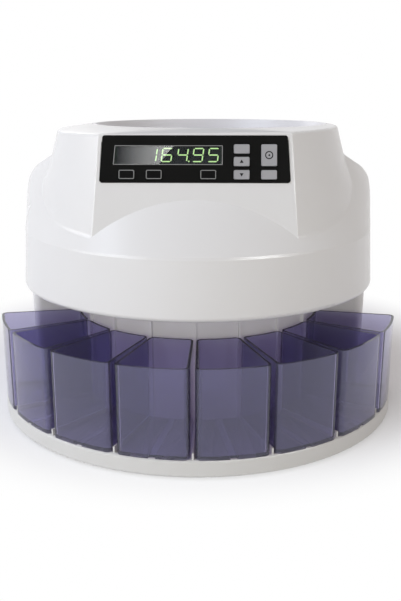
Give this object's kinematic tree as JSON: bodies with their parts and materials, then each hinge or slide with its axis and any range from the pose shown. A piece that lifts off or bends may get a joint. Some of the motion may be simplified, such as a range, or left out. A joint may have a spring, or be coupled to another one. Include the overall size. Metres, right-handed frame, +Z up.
{
  "type": "coin sorting machine",
  "caption": "Round bench-top coin sorter with a hopper on top, a sloping display panel and a fan of smoky wedge-shaped cups that slide out of its base.",
  "frame": {"origin": "middle of the footprint, on the surface that the feet rest on", "axes": "+Z up, the display panel and cups face -Y, +X to the right of someone facing them"},
  "size_m": [0.36, 0.36, 0.2535],
  "materials": {
    "housing_plastic": "fine satin, off-white",
    "cup_plastic": "clear, smoky blue-violet",
    "panel_plastic": "polished black",
    "window_plastic": "polished, tinted",
    "silver_key": "silver-grey satin",
    "black_key": "black with a pale outline",
    "display_glass": "dark green-grey",
    "circuit_board": "solder mask",
    "bowl_plastic": "satin light grey",
    "deck_plastic": "moulded dark grey",
    "steel": "brushed",
    "rotor_plastic": "moulded charcoal",
    "gear_plastic": "moulded natural",
    "rubber": "matt black",
    "black_plastic": "moulded black",
    "copper_core": "varnished laminations"
  },
  "bodies": {
    "machine": {"base_plate": "housing_plastic", "front_column": "housing_plastic", "rear_housing": "housing_plastic", "upper_housing": "housing_plastic", "display_panel": "panel_plastic", "display_window": "window_plastic", "display_module": "display_glass", "control_board": "circuit_board", "power_board": "circuit_board", "hopper_bowl": "bowl_plastic", "chute_deck": "deck_plastic", "sorting_ring": "steel", "lower_bearing": "steel", "upper_bearing": "steel", "motor": "steel", "drive_plate": "steel", "drive_standoffs": "steel", "base_screws": "steel", "housing_screws": "steel", "base_feet": "rubber", "key_switches": "black_plastic", "coin_sensors": "black_plastic", "power_inlet": "black_plastic", "data_port": "black_plastic", "switch_frame": "black_plastic", "transformer": "copper_core"},
    "cup_1": {"coin_cup_1": "cup_plastic"},
    "cup_2": {"coin_cup_2": "cup_plastic"},
    "cup_3": {"coin_cup_3": "cup_plastic"},
    "cup_4": {"coin_cup_4": "cup_plastic"},
    "cup_5": {"coin_cup_5": "cup_plastic"},
    "cup_6": {"coin_cup_6": "cup_plastic"},
    "cup_7": {"coin_cup_7": "cup_plastic"},
    "cup_8": {"coin_cup_8": "cup_plastic"},
    "print_key": {"key_print": "black_key"},
    "report_key": {"key_report": "black_key"},
    "set_key": {"key_set": "black_key"},
    "mode_key": {"key_mode": "silver_key"},
    "up_key": {"key_up": "silver_key"},
    "down_key": {"key_down": "silver_key"},
    "start_key": {"key_start": "silver_key"},
    "clear_key": {"key_clear": "silver_key"},
    "rocker": {"power_rocker": "black_plastic"},
    "spindle": {"main_shaft": "steel", "drive_gear": "gear_plastic", "sorter_rotor": "rotor_plastic", "feed_disc": "rotor_plastic", "spindle_nut": "steel"},
    "pinion": {"motor_pinion": "gear_plastic", "motor_shaft": "steel"}
  },
  "joints": [
    {"name": "cup_1_slide", "type": "slide", "parent": "machine", "child": "cup_1", "axis": [-0.9346, -0.3558, 0], "range_m": [0, 0.06]},
    {"name": "cup_2_slide", "type": "slide", "parent": "machine", "child": "cup_2", "axis": [-0.7593, -0.6508, 0], "range_m": [0, 0.06]},
    {"name": "cup_3_slide", "type": "slide", "parent": "machine", "child": "cup_3", "axis": [-0.4945, -0.8691, 0], "range_m": [0, 0.06]},
    {"name": "cup_4_slide", "type": "slide", "parent": "machine", "child": "cup_4", "axis": [-0.1716, -0.9852, 0], "range_m": [0, 0.06]},
    {"name": "cup_5_slide", "type": "slide", "parent": "machine", "child": "cup_5", "axis": [0.1716, -0.9852, 0], "range_m": [0, 0.06]},
    {"name": "cup_6_slide", "type": "slide", "parent": "machine", "child": "cup_6", "axis": [0.4945, -0.8691, 0], "range_m": [0, 0.06]},
    {"name": "cup_7_slide", "type": "slide", "parent": "machine", "child": "cup_7", "axis": [0.7593, -0.6508, 0], "range_m": [0, 0.06]},
    {"name": "cup_8_slide", "type": "slide", "parent": "machine", "child": "cup_8", "axis": [0.9346, -0.3558, 0], "range_m": [0, 0.06]},
    {"name": "print_key_press", "type": "slide", "parent": "machine", "child": "print_key", "axis": [0, 0.9593, -0.2823], "range_m": [0, 0.0006], "stiffness_N_per_m": 800},
    {"name": "report_key_press", "type": "slide", "parent": "machine", "child": "report_key", "axis": [0, 0.9593, -0.2823], "range_m": [0, 0.0006], "stiffness_N_per_m": 800},
    {"name": "set_key_press", "type": "slide", "parent": "machine", "child": "set_key", "axis": [0, 0.9593, -0.2823], "range_m": [0, 0.0006], "stiffness_N_per_m": 800},
    {"name": "mode_key_press", "type": "slide", "parent": "machine", "child": "mode_key", "axis": [0, 0.9593, -0.2823], "range_m": [0, 0.0006], "stiffness_N_per_m": 800},
    {"name": "up_key_press", "type": "slide", "parent": "machine", "child": "up_key", "axis": [0, 0.9593, -0.2823], "range_m": [0, 0.0006], "stiffness_N_per_m": 800},
    {"name": "down_key_press", "type": "slide", "parent": "machine", "child": "down_key", "axis": [0, 0.9593, -0.2823], "range_m": [0, 0.0006], "stiffness_N_per_m": 800},
    {"name": "start_key_press", "type": "slide", "parent": "machine", "child": "start_key", "axis": [0, 0.9593, -0.2823], "range_m": [0, 0.0006], "stiffness_N_per_m": 800},
    {"name": "clear_key_press", "type": "slide", "parent": "machine", "child": "clear_key", "axis": [0, 0.9593, -0.2823], "range_m": [0, 0.0006], "stiffness_N_per_m": 800},
    {"name": "power_rocker_tilt", "type": "hinge", "parent": "machine", "child": "rocker", "pos_m": [0.006, 0.141, 0.054], "axis": [1, 0, 0], "range_deg": [0, 14]},
    {"name": "spindle_spin", "type": "hinge", "parent": "machine", "child": "spindle", "pos_m": [0, 0, 0.12], "axis": [0, 0, 1], "continuous": true},
    {"name": "pinion_spin", "type": "hinge", "parent": "machine", "child": "pinion", "pos_m": [0, 0.05625, 0.088], "axis": [0, 0, 1], "continuous": true}
  ],
  "couplings": [
    {"joint": "pinion_spin", "follows": "spindle_spin", "ratio": -4}
  ]
}
